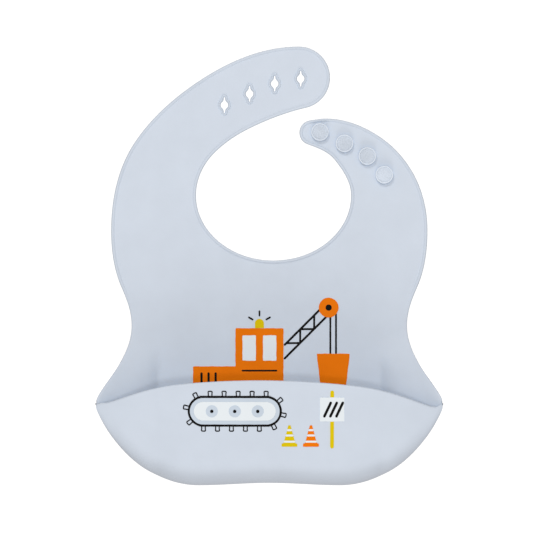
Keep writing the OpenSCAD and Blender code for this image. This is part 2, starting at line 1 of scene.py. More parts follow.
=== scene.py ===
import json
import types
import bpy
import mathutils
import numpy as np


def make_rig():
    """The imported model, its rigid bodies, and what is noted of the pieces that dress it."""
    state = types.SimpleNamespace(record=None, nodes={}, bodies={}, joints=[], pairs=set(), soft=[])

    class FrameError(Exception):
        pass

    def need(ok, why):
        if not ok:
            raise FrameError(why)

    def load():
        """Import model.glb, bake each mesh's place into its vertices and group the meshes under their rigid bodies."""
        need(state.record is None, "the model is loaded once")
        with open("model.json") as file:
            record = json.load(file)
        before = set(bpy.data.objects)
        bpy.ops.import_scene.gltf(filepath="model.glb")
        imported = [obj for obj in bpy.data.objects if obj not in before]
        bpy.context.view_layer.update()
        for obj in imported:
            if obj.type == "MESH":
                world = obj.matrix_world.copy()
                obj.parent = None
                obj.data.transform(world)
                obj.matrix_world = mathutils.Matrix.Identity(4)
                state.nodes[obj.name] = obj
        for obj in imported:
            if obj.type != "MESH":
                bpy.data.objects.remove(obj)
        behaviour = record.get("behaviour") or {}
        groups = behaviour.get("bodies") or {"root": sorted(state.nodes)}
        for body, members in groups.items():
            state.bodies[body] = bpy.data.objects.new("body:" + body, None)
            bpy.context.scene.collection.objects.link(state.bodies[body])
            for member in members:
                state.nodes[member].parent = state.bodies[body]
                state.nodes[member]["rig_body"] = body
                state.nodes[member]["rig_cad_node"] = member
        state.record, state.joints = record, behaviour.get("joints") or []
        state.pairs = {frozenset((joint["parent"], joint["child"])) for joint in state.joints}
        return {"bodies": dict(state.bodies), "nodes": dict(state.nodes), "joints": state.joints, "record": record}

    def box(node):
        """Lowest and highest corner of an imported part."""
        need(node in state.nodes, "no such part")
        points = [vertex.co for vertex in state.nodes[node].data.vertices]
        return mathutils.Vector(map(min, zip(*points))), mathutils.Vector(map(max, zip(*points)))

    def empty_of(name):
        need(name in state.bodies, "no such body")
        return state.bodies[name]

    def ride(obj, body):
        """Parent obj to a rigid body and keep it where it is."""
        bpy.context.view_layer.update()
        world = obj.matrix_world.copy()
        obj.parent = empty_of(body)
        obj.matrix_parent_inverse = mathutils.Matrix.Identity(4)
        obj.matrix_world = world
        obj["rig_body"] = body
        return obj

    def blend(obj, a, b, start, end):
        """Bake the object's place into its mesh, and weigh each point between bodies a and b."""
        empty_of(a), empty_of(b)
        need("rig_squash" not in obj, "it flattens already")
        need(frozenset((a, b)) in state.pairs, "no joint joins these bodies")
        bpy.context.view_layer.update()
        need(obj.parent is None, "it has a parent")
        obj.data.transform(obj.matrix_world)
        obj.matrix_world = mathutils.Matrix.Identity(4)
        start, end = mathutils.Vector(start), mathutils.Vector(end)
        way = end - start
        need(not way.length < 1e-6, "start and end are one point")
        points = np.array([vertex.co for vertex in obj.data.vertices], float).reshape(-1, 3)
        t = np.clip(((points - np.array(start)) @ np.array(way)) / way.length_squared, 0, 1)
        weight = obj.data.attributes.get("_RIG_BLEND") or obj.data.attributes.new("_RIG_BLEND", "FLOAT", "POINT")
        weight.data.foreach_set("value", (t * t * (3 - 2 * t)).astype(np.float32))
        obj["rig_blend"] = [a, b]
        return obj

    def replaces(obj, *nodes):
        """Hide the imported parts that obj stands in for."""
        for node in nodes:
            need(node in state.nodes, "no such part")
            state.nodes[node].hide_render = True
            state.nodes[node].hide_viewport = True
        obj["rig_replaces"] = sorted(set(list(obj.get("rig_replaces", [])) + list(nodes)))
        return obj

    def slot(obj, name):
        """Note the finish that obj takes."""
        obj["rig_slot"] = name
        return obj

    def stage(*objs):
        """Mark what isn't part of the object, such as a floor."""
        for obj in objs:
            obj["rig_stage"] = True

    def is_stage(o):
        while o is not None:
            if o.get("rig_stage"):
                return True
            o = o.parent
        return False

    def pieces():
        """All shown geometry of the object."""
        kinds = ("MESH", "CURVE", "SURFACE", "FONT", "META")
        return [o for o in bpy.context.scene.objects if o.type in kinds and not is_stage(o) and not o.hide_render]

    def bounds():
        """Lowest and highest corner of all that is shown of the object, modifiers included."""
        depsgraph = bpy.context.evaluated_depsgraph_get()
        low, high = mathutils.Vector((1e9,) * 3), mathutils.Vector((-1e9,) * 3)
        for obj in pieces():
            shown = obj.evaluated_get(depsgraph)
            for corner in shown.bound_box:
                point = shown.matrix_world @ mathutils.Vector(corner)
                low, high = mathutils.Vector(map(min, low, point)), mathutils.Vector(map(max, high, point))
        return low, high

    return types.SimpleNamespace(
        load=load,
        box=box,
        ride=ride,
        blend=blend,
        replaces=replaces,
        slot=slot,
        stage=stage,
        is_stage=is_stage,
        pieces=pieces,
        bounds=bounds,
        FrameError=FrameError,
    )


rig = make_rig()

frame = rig.load()

import json
import math

import bpy
import numpy as np
from mathutils import Vector, geometry

# A silicone bib: one soft sheet with a raised edge bead, bent along lines where
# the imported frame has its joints, and ink printed on its front. Lengths in this
# script are millimetres until solid() turns them into metres.
cad_low, cad_high = (list(corner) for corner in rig.bounds())
MM = 0.001
for thing in list(bpy.data.objects):
    if thing.name in ("Cube", "Light", "Camera"):
        bpy.data.objects.remove(thing)

# ---- sizes ---------------------------------------------------------------
SHEET = 1.8  # thickness of the sheet
FOLD_R = 3.0  # radius of the fold where the back turns into the floor
BODY_X = -3.0  # the body's middle line
CREASE = 80.3  # from the body's middle line to a wing's crease
CREASE_SOFT = 2.0  # how far the crease is rounded
# Near the lip a wing rises steeply out of its crease: by how much more, over
# what distance, and below what height.
PINCH, PINCH_W, PINCH_TOP = 13.0, 5.0, -94.0
WING_TOP = -88.0  # where the wings start to fold forward
WING_ANGLE = 26.0  # their angle at the corners
CORNER_HALF = 121.8  # from the body's middle line to a corner
CORNER_Z = -146.0
LIP_LEAN = 0.012  # the lip's slope, up to the left
LIP_DEPTH, LIP_CORNER_DEPTH = 44.0, 28.9  # forward of the back, in the middle and at a corner
FLOOR_R, FLOOR_SHARE = 16.0, 0.65  # the floor's height, and its share of the depth
CUT_Z = -86.0  # the flat sheet's mesh ends here and the scoop's starts
BEAD_END, BEAD_FADE = -60.0, 24.0  # the edge bead fades out below this height
STEP = 1.6  # between points along an edge
ON_LINE = 0.001  # points nearer to a line than this are on it
AIM = (-5.0, -1.3, -50.3)  # the camera and the lights look here

# Outlines, as knots of x, z and heading in degrees. The body's and the lip's x
# is measured from the body's middle line.
SIDE = [
    (112, -25, -90), (104.5, -65.5, -114), (97.5, -92, -90),
    (108.5, -123.5, -57), (120.3, -141, -60), (CORNER_HALF, CORNER_Z, -90)]
UNDER = [
    (CORNER_HALF, CORNER_Z, -90), (120.3, -152, -114), (111, -168.8, -125),
    (84, -195.2, -149), (50, -205, 180), (0, -203.3, 180)]
LIP = [
    (0, -129.7, 0), (45, -131.5, -4.5), (73, -134.8, -10.5), (98.5, -141.8, -19),
    (110, -145.8, -18), (116.5, -147, 0), (CORNER_HALF, CORNER_Z, 15)]
SLOT_STRAP = [
    (-115, -25, 90), (-98, 38, 56), (-59, 76.8, 35.5), (18, 105.5, 0),
    (40, 83.5, -90), (23, 62.1, -167), (-18, 47, -153.5), (-42, 30, -135),
    (-54.9, 0, -90)]
BUTTON_STRAP = [
    (54.9, 0, 90), (43.5, 25, 128), (23.9, 36.3, 160), (18.3, 44.5, 90),
    (25.4, 53.1, 10), (37, 54.5, 0), (73.5, 42.8, -32.5), (98, 17.3, -59.5),
    (109, -25, -90)]
NECK = (54.9, 46.0)
SLOTS = [(-34.8, 64), (-17, 72), (0.8, 79.2), (19.2, 82.7)]
SLOT_W, SLOT_H, SLOT_END, SLOT_FILLET = 5.3, 11.0, 1.0, 3.0

# The raised bead along a free edge: distance in from the edge, then how far
# the front and the back of the sheet stand from its back plane.
EDGE_D = [0, 0.2, 0.55, 1.1, 1.65, 2.05, 2.3, 2.8]
EDGE_FRONT = [1.25, 2.0, 2.42, 2.6, 2.5, 2.15, 1.87, SHEET]
EDGE_BACK = [1.25, 0.6, 0.16, 0, 0, 0, 0, 0]
PLAIN_FRONT = [0.9, 1.5, 1.74, SHEET, SHEET, SHEET, SHEET, SHEET]
PLAIN_BACK = [0.9, 0.3, 0.06, 0, 0, 0, 0, 0]
LIP_INNER = [0.9, 1.75, 2.15, 2.3, 2.2, 1.97, 1.83, SHEET]
LIP_OUTER = [0.9, 0.16, -0.1, -0.14, -0.12, -0.07, -0.02, 0]
SLOT_D = [0, 0.15, 0.5, 0.95, 1.4, 1.62, 1.78, 2.05, 2.4]
SLOT_FRONT = [0.7, 1.3, 1.9, 2.42, 2.46, 2.34, 1.66, 1.62, SHEET]
SLOT_BACK = [1.0, 0.18, 0, 0, 0, 0, 0, 0, 0]


# ---- curves --------------------------------------------------------------
def way(a):
    return np.array([math.cos(math.radians(a)), math.sin(math.radians(a))])


def span(a, b, step):
    p, s = np.array(a[:2], float), np.array(b[:2], float)
    turn = (b[2] - a[2] + 540) % 360 - 180
    handle = np.linalg.norm(s - p) / (3 * math.cos(math.radians(turn / 4)) ** 2)
    q, r = p + handle * way(a[2]), s - handle * way(b[2])
    n = max(3, math.ceil(np.linalg.norm(s - p) / step))
    t = (np.arange(n) / n)[:, None]
    return (1 - t) ** 3 * p + 3 * (1 - t) ** 2 * t * q + 3 * (1 - t) * t * t * r + t ** 3 * s


def curve(knots, step=STEP):
    """Points along a smooth line through knots of (x, z, heading)."""
    runs = [span(a, b, step) for a, b in zip(knots, knots[1:])]
    return np.vstack(runs + [np.array([knots[-1][:2]], float)])


def smooth(t):
    c = np.clip(t, 0, 1)
    return c * c * (3 - 2 * c)


def moved_in(line, d, closed=False):
    """A line moved d to its right-hand side, along its own normals."""
    if closed:
        run = np.roll(line, -1, 0) - np.roll(line, 1, 0)
    else:
        run = np.gradient(line, axis=0)
    side = np.stack([run[:, 1], -run[:, 0]], 1)
    return line + d * side / np.linalg.norm(side, axis=1)[:, None]


def distance(points, line, closed=False):
    """Distance from each point to a line of straight pieces."""
    a = line if closed else line[:-1]
    b = np.roll(line, -1, 0) if closed else line[1:]
    best = np.full(len(points), 1e9)
    for p, q in zip(a, b):
        run = q - p
        t = np.clip((points - p) @ run / max(run @ run, 1e-12), 0, 1)
        best = np.minimum(best, np.linalg.norm(points - p - t[:, None] * run, axis=1))
    return best


def inside(points, ring):
    """True for each point inside a closed ring."""
    x, z = points[:, 0], points[:, 1]
    hit = np.zeros(len(points), bool)
    for (x0, z0), (x1, z1) in zip(ring, np.roll(ring, -1, 0)):
        if z0 == z1:
            continue
        crosses = (z0 > z) != (z1 > z)
        hit ^= crosses & (x < (x1 - x0) * (z - z0) / (z1 - z0) + x0)
    return hit


def clipped(line, z):
    """The stretch of a line above a height, ended exactly on it."""
    keep = np.flatnonzero(line[:, 1] > z)
    first, last = keep[0], keep[-1]

    def crossing(a, b):
        t = (z - a[1]) / (b[1] - a[1])
        return np.array([a[0] + t * (b[0] - a[0]), z])

    return np.vstack([crossing(line[first - 1], line[first]), line[first:last + 1],
                      crossing(line[last], line[last + 1])])


# ---- pocket surface ------------------------------------------------------
SIDE_LINE = curve(SIDE, 1.0)
UNDER_LINE = curve(UNDER, 1.0)
LIP_LINE = curve(LIP, 1.0)


def under_z(u):
    return np.interp(np.abs(u), UNDER_LINE[::-1, 0], UNDER_LINE[::-1, 1])


def back_depth(u, z):
    over = np.abs(u) - CREASE
    width = CREASE_SOFT * (1 + 3 * smooth((z + 130) / 42))  # softer higher up
    soft = (over + np.sqrt(over * over + width ** 2)) / 2
    pinch = PINCH * smooth((PINCH_TOP - z) / 28)
    pinched = soft + pinch * (1 - np.exp(-soft / PINCH_W))
    fold = WING_ANGLE * smooth((WING_TOP - z) / (WING_TOP - CORNER_Z))
    return pinched * np.tan(np.radians(fold)) * smooth((over + 22) / 22)


def lip_z(u):
    """The lip's height; it leans a little, higher at the left."""
    middle = np.interp(np.abs(u), LIP_LINE[:, 0], LIP_LINE[:, 1])
    return middle - LIP_LEAN * u * smooth((CORNER_HALF - np.abs(u)) / 5)


def wall_sizes(u):
    """Height, floor height, floor depth, front depth and fold depth at u."""
    low = under_z(u)
    high = np.maximum(lip_z(u) - low, 0.01)
    start = back_depth(u, low) + FOLD_R
    bow = np.maximum(0, 1 - (u / CORNER_HALF) ** 2) ** 0.75
    more = LIP_CORNER_DEPTH + (LIP_DEPTH - LIP_CORNER_DEPTH) * bow - start
    more = np.maximum(more, 0.02)
    floor = np.minimum(FLOOR_R, 0.6 * high)
    return high, floor, FLOOR_SHARE * more, (1 - FLOOR_SHARE) * more, start


def wall_lengths(u):
    high, floor, deep, lean, _ = wall_sizes(u)
    first = np.pi / 2 * np.sqrt((floor ** 2 + (deep + lean * floor / high) ** 2) / 2)
    rest = high - floor
    return first, np.hypot(rest, lean * rest / high)


def wall_depth(x, z):
    """How far the pocket's outer face stands forward at x, z."""
    u = np.asarray(x, float) - BODY_X
    high, floor, deep, lean, start = wall_sizes(u)
    h = np.asarray(z, float) - under_z(u)
    share = np.sqrt(np.maximum(0, 1 - (1 - np.clip(h / floor, 0, 1)) ** 2))
    return start + deep * share + lean * h / high


def scoop_point(uq):
    """The unrolled scoop to space: q is the way up from the fold on the back,
    and the way down from it, below zero, on the floor and the front."""
    u, q = uq[:, 0], uq[:, 1]
    low = under_z(u)
    arc = np.pi / 2 * FOLD_R
    turn = np.clip(q / FOLD_R, 0, np.pi / 2)
    rise = np.where(q < arc, FOLD_R * (1 - np.cos(turn)), FOLD_R + q - arc)
    z_back = low + rise
    y_back = back_depth(u, z_back) + FOLD_R * (1 - np.sin(turn))
    high, floor, deep, lean, start = wall_sizes(u)
    first, rest = wall_lengths(u)
    way_down = np.maximum(-q, 0)
    angle = np.pi / 2 * np.clip(way_down / first, 0, 1)
    up = floor * (1 - np.cos(angle))
    up = np.where(way_down > first,
                  floor + (high - floor) * (way_down - first) / rest, up)
    y_wall = start + deep * np.sin(angle) + lean * up / high
    y = np.where(q >= 0, y_back, y_wall)
    z = np.where(q >= 0, z_back, low + up)
    return np.stack([u + BODY_X, -y, z], 1)


def back_q(u, z):
    """The unrolled height of a point of the back."""
    rise = z - under_z(u)
    near = np.clip(rise / FOLD_R, 0, 1)
    return np.where(rise < FOLD_R, FOLD_R * np.arccos(1 - near),
                    np.pi / 2 * FOLD_R + rise - FOLD_R)


# ---- meshes --------------------------------------------------------------
def triangulate(points, edges, keep):
    """Triangles over points that respect the edges, where keep() says so."""
    made = geometry.delaunay_2d_cdt(
        [tuple(p) for p in points], edges, [], 0, 1e-5)
    verts = np.array([tuple(v) for v in made[0]], float)
    faces = np.array([f for f in made[2] if len(f) == 3])
    middle = verts[faces].mean(1)
    faces = faces[keep(middle)]
    a, b, c = (verts[faces[:, k]] for k in range(3))
    area = ((b[:, 0] - a[:, 0]) * (c[:, 1] - a[:, 1])
            - (b[:, 1] - a[:, 1]) * (c[:, 0] - a[:, 0]))
    faces = faces[np.abs(area) > 1e-7]
    flip = area[np.abs(area) > 1e-7] < 0
    faces[flip] = faces[flip][:, ::-1]
    return verts, faces


def chain(start, count, closed=False):
    links = [(start + i, start + i + 1) for i in range(count - 1)]
    return links + ([(start + count - 1, start)] if closed else [])


class Drawing:
    """Points and fixed edges for triangulate()."""

    def __init__(self):
        self.points, self.edges, self.count = [], [], 0

    def line(self, points, closed=False):
        self.points.append(np.asarray(points, float))
        self.edges += chain(self.count, len(points), closed)
        self.count += len(points)

    def dots(self, points):
        if len(points):
            self.points.append(np.asarray(points, float))
            self.count += len(points)

    def done(self, keep):
        return triangulate(np.vstack(self.points), self.edges, keep)


def face_normals(points, faces):
    a, b, c = (points[faces[:, k]] for k in range(3))
    return np.cross(b - a, c - a)


def vertex_normals(points, faces):
    area = face_normals(points, faces)
    total = np.zeros_like(points)
    for k in range(3):
        np.add.at(total, faces[:, k], area)
    size = np.linalg.norm(total, axis=1)
    return total / np.maximum(size, 1e-12)[:, None]


def link(name, data):
    thing = bpy.data.objects.new(name, data)
    bpy.context.scene.collection.objects.link(thing)
    return thing


def solid(name, outer, inner, faces, shared, outer_n, inner_n):
    """A closed sheet of the given faces, as a Blender object. Points in shared
    are on the free edge, where the outer and the inner skin meet; the faces
    that touch them, where the sheet thins out, take the second material, a
    near-white silicone that is painted light for the glow through the thin edge."""
    used = np.unique(faces)
    renumber = np.full(len(outer), -1)
    renumber[used] = np.arange(len(used))
    faces = renumber[faces]
    outer, inner, shared = outer[used], inner[used], shared[used]
    twin = np.where(shared, np.arange(len(used)), 0)
    split = np.flatnonzero(~shared)
    twin[split] = len(used) + np.arange(len(split))
    points = np.vstack([outer, inner[split]])
    normals = np.vstack([outer_n[used], inner_n[used][split]])
    skins = [tuple(f) for f in faces] + [tuple(twin[f[::-1]]) for f in faces]
    border = {}
    for f in faces:
        for a, b in ((f[0], f[1]), (f[1], f[2]), (f[2], f[0])):
            border[(a, b)] = True
    walls = []
    for a, b in border:
        if (b, a) in border or (shared[a] and shared[b]):
            continue
        corner = [b, a, twin[a], twin[b]]
        walls.append(tuple(dict.fromkeys(int(v) for v in corner)))
    mesh = bpy.data.meshes.new(name)
    mesh.from_pydata((points * MM).tolist(), [], [tuple(map(int, f)) for f in skins] + walls)
    mesh.update()
    mesh.shade_smooth()
    # Faces that touch the free edge take the second material, a near-white silicone: painted light standing in for
    # light shining through the thin edge.
    touched = np.zeros(len(outer), bool)
    touched[faces[shared[faces].any(1)]] = True
    thin = touched[faces].any(1).astype(int)
    mesh.polygons.foreach_set(
        "material_index", np.concatenate([thin, thin, np.zeros(len(walls), int)]))
    loops = np.zeros(len(mesh.loops), int)
    mesh.loops.foreach_get("vertex_index", loops)
    loop_n = normals[loops]
    for polygon in list(mesh.polygons)[len(skins):]:
        loop_n[list(polygon.loop_indices)] = polygon.normal
    mesh.normals_split_custom_set([tuple(n) for n in loop_n])
    return link(name, mesh)


def mixed(share, d, first, second):
    """A profile at distance d from an edge, between two of the edge's profiles."""
    return (1 - share) * np.interp(d, EDGE_D, first) + share * np.interp(d, EDGE_D, second)


def split_sheet(parts, points, normals, front, back, faces, shared):
    """Objects for the named groups of faces of one sheet."""
    outer = points - normals * back[:, None]
    inner = points - normals * front[:, None]
    outer_n = vertex_normals(outer, faces)
    inner_n = -vertex_normals(inner, faces)
    outer_n[shared] += inner_n[shared]
    size = np.linalg.norm(outer_n, axis=1)
    outer_n /= np.maximum(size, 1e-9)[:, None]
    return {name: solid(name, outer, inner, faces[which], shared, outer_n, inner_n)
            for name, which in parts.items() if which.any()}


# ---- flat sheet: chest, straps and waist ---------------------------------
def free_edge():
    """The sheet's free edge from the left waist, round both straps."""
    shift = np.array([BODY_X, 0])
    right = curve(SIDE[:4]) + shift
    left = (curve(SIDE[:4]) * [-1, 1] + shift)[::-1]
    angles = np.radians(np.arange(180, 360, 1.8))
    neck = np.stack([NECK[0] * np.cos(angles), NECK[1] * np.sin(angles)], 1)
    return np.vstack([left[:-1], curve(SLOT_STRAP)[:-1], neck,
                      curve(BUTTON_STRAP)[:-1], right])


def slot_outline(grow=0.0):
    """A slot: a round middle that narrows to a slit above and below it."""
    r, t = SLOT_W / 2, SLOT_END / 2
    neck = math.sqrt((r + SLOT_FILLET) ** 2 - (t + SLOT_FILLET) ** 2)
    aim = math.degrees(math.acos((t + SLOT_FILLET) / (r + SLOT_FILLET)))
    quarter = curve([(0, SLOT_H / 2, 0), (t, SLOT_H / 2 - t, -90), (t, neck, -90),
                     (*(r * way(aim)), aim - 90), (r, 0, -90)], 0.6)
    half = np.vstack([quarter, (quarter[::-1] * [1, -1])[1:]])
    ring = np.vstack([half, (half * [-1, 1])[::-1][1:-1]])
    return moved_in(ring, -grow, True)


def hinge(name):
    return next(j for j in frame["joints"] if j["name"] == name)


def hinge_angle(name):
    """The direction, seen from the front, of a strap's bending line."""
    at = hinge(name)["pos_m"]
    return math.degrees(math.atan2(at[2], at[0]))


SLOT_ROOT = hinge_angle("slot_strap_root_bend")
SLOT_MID = hinge_angle("slot_strap_mid_bend")
BUTTON_ROOT = hinge_angle("button_strap_root_bend")
BUTTON_MID = hinge_angle("button_strap_mid_bend")
WAIST_Z = hinge("waist_bend")["pos_m"][2] / MM
WAIST_HALF = 13.0
CHEST_CUT = WAIST_Z + WAIST_HALF + 1
ROOT_HALF, MID_HALF, BUTTON_MID_HALF = 8.0, 8.0, 3.4
BENDS = ((SLOT_ROOT, ROOT_HALF), (SLOT_MID, MID_HALF),
         (BUTTON_ROOT, ROOT_HALF), (BUTTON_MID, BUTTON_MID_HALF))
# Where the straps' skins are cut: at the chest, and between the two bends.
SLOT_CUTS = (SLOT_ROOT + 7, (SLOT_ROOT + SLOT_MID) / 2)
BUTTON_CUTS = (BUTTON_ROOT - 7, 16.5)


def grid_points(low, high, step):
    xs = np.arange(low[0], high[0], step)
    zs = np.arange(low[1], high[1], step * 0.866)
    return np.array([(x + (i % 2) * step / 2, z) for i, z in enumerate(zs) for x in xs])


def flat_sheet():
    edge = free_edge()
    rim = clipped(edge, CUT_Z)
    draw = Drawing()
    cut = []
    for d in EDGE_D:
        ring = clipped(moved_in(edge, d), CUT_Z)
        draw.line(ring)
        cut += [ring[0], ring[-1]]
    cut = sorted(cut, key=lambda p: p[0])
    half = len(cut) // 2
    inner = np.linspace(cut[half - 1][0], cut[half][0], 72)[1:-1]
    row = np.array(cut[:half] + [(x, CUT_Z) for x in inner] + cut[half:])
    draw.line(row)
    for at in SLOTS:
        for d in SLOT_D:
            draw.line(slot_outline(d) + at, True)
    for a in SLOT_CUTS + BUTTON_CUTS:
        draw.line([way(a) * 30, way(a) * 150])
    draw.line([(-140, CHEST_CUT), (130, CHEST_CUT)])
    wide = grid_points((-120, CUT_Z), (112, 108), 4.0)
    fine = grid_points((-120, WAIST_Z - WAIST_HALF), (112, WAIST_Z + WAIST_HALF), 2.2)
    bends = [p for a, half in BENDS for p in bend_points(a, half)]
    dots = np.vstack([wide[~in_bend(wide)], fine, np.array(bends)])
    slots = np.vstack([slot_outline() + at for at in SLOTS])
    room = np.min([np.linalg.norm(dots - s, axis=1) for s in slots], axis=0)
    good = (inside(dots, rim) & (distance(dots, rim) > 3.6) & (room > 3.2)
            & (dots[:, 1] > CUT_Z + 1.2))
    draw.dots(dots[good])
    holes = [slot_outline() + at for at in SLOTS]

    def keep(middle):
        there = inside(middle, rim)
        for hole in holes:
            there &= ~inside(middle, hole)
        return there

    verts, faces = draw.done(keep)
    return verts, faces, rim, holes, row


def in_bend(p):
    """True where a bend's own finer points replace the wide grid."""
    hit = np.abs(p[:, 1] - WAIST_Z) < WAIST_HALF + 1
    for a, half in BENDS:
        along, across = p @ way(a), p @ way(a + 90)
        hit |= (np.abs(across) < half + 1.5) & (along > 30)
    return hit


def bend_points(a, half):
    rows = np.arange(-half, half + 0.01, min(2.0, half / 3))
    return [way(a) * r + way(a + 90) * s for s in rows for r in np.arange(32, 130, 2.4)]


def build_flat():
    verts, faces, rim, holes, row = flat_sheet()
    d = distance(verts, rim)
    slot_d = np.min([distance(verts, h, True) for h in holes], axis=0)
    plain = smooth((BEAD_END - verts[:, 1]) / BEAD_FADE)
    front = mixed(plain, d, EDGE_FRONT, PLAIN_FRONT)
    back = mixed(plain, d, EDGE_BACK, PLAIN_BACK)
    near = slot_d < SLOT_D[-1]
    front[near] = np.interp(slot_d[near], SLOT_D, SLOT_FRONT)
    back[near] = np.interp(slot_d[near], SLOT_D, SLOT_BACK)
    shared = (d < ON_LINE) | (slot_d < ON_LINE)
    points = np.stack([verts[:, 0], np.zeros(len(verts)), verts[:, 1]], 1)
    normals = np.tile([0.0, 1.0, 0.0], (len(verts), 1))
    middle = verts[faces].mean(1)
    turn = np.degrees(np.arctan2(middle[:, 1], middle[:, 0])) % 360
    radius = np.linalg.norm(middle, axis=1)
    # The long strap's tip overhangs the short strap, above a sloping line.
    gap = middle[:, 1] > 52 + (middle[:, 0] - 8) * 28 / 92
    slot_side = (turn < SLOT_CUTS[0]) & (turn > 90) | (gap & (turn < 95) & (radius > 50))
    button_side = ~slot_side & ((turn < 90) | (turn > 360 + BUTTON_CUTS[0]))
    parts = {
        "waist_skin": middle[:, 1] < CHEST_CUT,
        "slot_strap_root_skin": slot_side & (turn > SLOT_CUTS[1]),
        "slot_strap_skin": slot_side & (turn <= SLOT_CUTS[1]),
        "button_strap_root_skin": button_side & ((turn > 180) | (turn < BUTTON_CUTS[1])),
        "button_strap_skin": button_side & (turn < 180) & (turn >= BUTTON_CUTS[1])}
    parts["chest_skin"] = ~np.any(list(parts.values()), axis=0)
    made = split_sheet(parts, points, normals, front, back, faces[:, ::-1], shared)
    return made, row


# ---- scoop: back, wings, floor, front and lip ----------------------------
def scoop_edge(row):
    """The unrolled free edge: down the left side, along the lip, up the right."""
    side = SIDE_LINE[SIDE_LINE[:, 1] < CUT_Z - 0.9]
    down = np.stack([side[:, 0], back_q(side[:, 0], side[:, 1])], 1)
    tip = UNDER_LINE[(UNDER_LINE[:, 0] > 100)][1:, 0]
    u = np.concatenate([tip, np.arange(100, -0.1, -1.6)])
    halves = []
    for sign, end in ((-1, row[0, 0] - BODY_X), (1, row[-1, 0] - BODY_X)):
        start = [[end, back_q(end, CUT_Z)]]
        lip = np.stack([sign * u, -sum(wall_lengths(sign * u))], 1)
        halves.append(np.vstack([start, down * [sign, 1], lip]))
    left, right = halves
    return np.vstack([left[:-1], right[::-1]])


def build_scoop(row):
    edge = resampled(scoop_edge(row), STEP)
    top = np.stack([row[:, 0] - BODY_X, back_q(row[:, 0] - BODY_X, CUT_Z)], 1)
    draw = Drawing()
    for k, d in enumerate(EDGE_D):
        ring = moved_in(edge, -d)
        floor = min(top[k, 1], top[-1 - k, 1]) - 1.0
        inner = ring[1:-1]
        inner = inner[~((inner[:, 1] > floor) & (np.abs(inner[:, 0]) > 90))]
        draw.line(np.vstack([top[k], inner, top[-1 - k]]))
    draw.line(top)
    # Columns of points, closer together at the creases.
    right = np.arange(0, 119.1, 2.8)
    right = right[(right < CREASE - 4.4) | (right > CREASE + 6.4)]
    right = np.append(right, CREASE + np.array([-3.3, -2.2, -1.1, 1.1, 2.2, 3.3, 4.6]))
    u = np.sort(np.append(-right[1:], right))
    arc = np.pi / 2 * FOLD_R
    dots = [(x, q) for q in np.linspace(0, arc, 8) for x in u if abs(q) > 1e-6]
    dots += [(x, q) for q in arc + np.cumsum(np.full(45, 2.9)) for x in u]
    first, rest = wall_lengths(u)
    dots += [(x, -f * t) for x, f in zip(u, first) for t in np.linspace(0, 1, 15)[1:-1]]
    dots += [(x, -f - r * t) for x, f, r in zip(u, first, rest)
             for t in np.linspace(0, 1, 20)[1:]]
    dots = np.array(dots)
    crease_u = np.array([-CREASE, CREASE])
    room = distance(dots, edge)
    flat_z = scoop_point(dots)[:, 2]
    good = (inside(dots, edge) & (room > 3.4) & ((dots[:, 1] < 20) | (flat_z < CUT_Z - 1.6))
            & (np.min(np.abs(dots[:, :1] - crease_u), axis=1) > 0.9))
    draw.dots(dots[good])
    fold = np.arange(-CORNER_HALF + 0.4, CORNER_HALF - 0.3, 1.4)
    draw.line(np.stack([fold, fold * 0], 1))
    low = np.arange(-119.5, 119.6, 1.9)
    draw.line(np.stack([low, -wall_lengths(low)[0]], 1))
    for c in crease_u:
        top_q = back_q(c, CUT_Z)
        draw.line([(c, q) for q in np.append(np.arange(0.05, top_q - 2, 2.4), top_q - 0.001)])
    ring = np.vstack([edge, top[::-1]])

    def keep(middle):
        return inside(middle, ring)

    verts, faces = draw.done(keep)
    d = distance(verts, edge)
    on_cut = distance(verts, top) < ON_LINE
    points = scoop_point(verts)
    points[on_cut, 2] = CUT_Z
    faces = faces[:, ::-1]
    normals = vertex_normals(points, faces)
    if normals[on_cut][:, 1].mean() < 0:
        faces = faces[:, ::-1]
        normals = -normals
    normals[on_cut] = (0, 1, 0)
    lip = smooth(-verts[:, 1] / 7)
    front = mixed(lip, d, PLAIN_FRONT, LIP_INNER)
    back = mixed(lip, d, PLAIN_BACK, LIP_OUTER)
    middle = verts[faces].mean(1)
    mid_u, mid_q = middle[:, 0], middle[:, 1]
    first = wall_lengths(mid_u)[0]
    bead = (distance(middle, edge) < EDGE_D[-1]) & (mid_q < 0)
    parts = {
        "lip_bead_skin": bead,
        "lower_panel_skin": (mid_q > 0) & (np.abs(mid_u) < CREASE),
        "wing_left_skin": (mid_q > 0) & (mid_u < -CREASE),
        "wing_right_skin": (mid_q > 0) & (mid_u > CREASE),
        "pocket_floor_skin": (mid_q < 0) & (mid_q > -first) & ~bead,
        "pocket_front_skin": (mid_q < -first) & ~bead}
    return split_sheet(parts, points, normals, front, back, faces, d < ON_LINE)


def resampled(line, step):
    """The same line with points a step apart."""
    length = np.concatenate([[0], np.cumsum(np.linalg.norm(np.diff(line, axis=0), axis=1))])
    at = np.linspace(0, length[-1], math.ceil(length[-1] / step))
    return np.stack([np.interp(at, length, line[:, k]) for k in (0, 1)], 1)


# ---- materials -----------------------------------------------------------
def linear(rgb):
    """Screen colour, 0 to 255, as light."""
    c = np.array(rgb, float) / 255
    return np.where(c < 0.04045, c / 12.92, ((c + 0.055) / 1.055) ** 2.4)


STUDIO = np.array([1.02, 0.909, 0.85])  # the warm studio light's red, green and blue


def noise(nodes, links, coord, scale, detail=2.0, rough=0.5):
    n = nodes.new("ShaderNodeTexNoise")
    n.inputs["Scale"].default_value = scale
    n.inputs["Detail"].default_value = detail
    n.inputs["Roughness"].default_value = rough
    links.new(coord.outputs["Object"], n.inputs["Vector"])
    return n


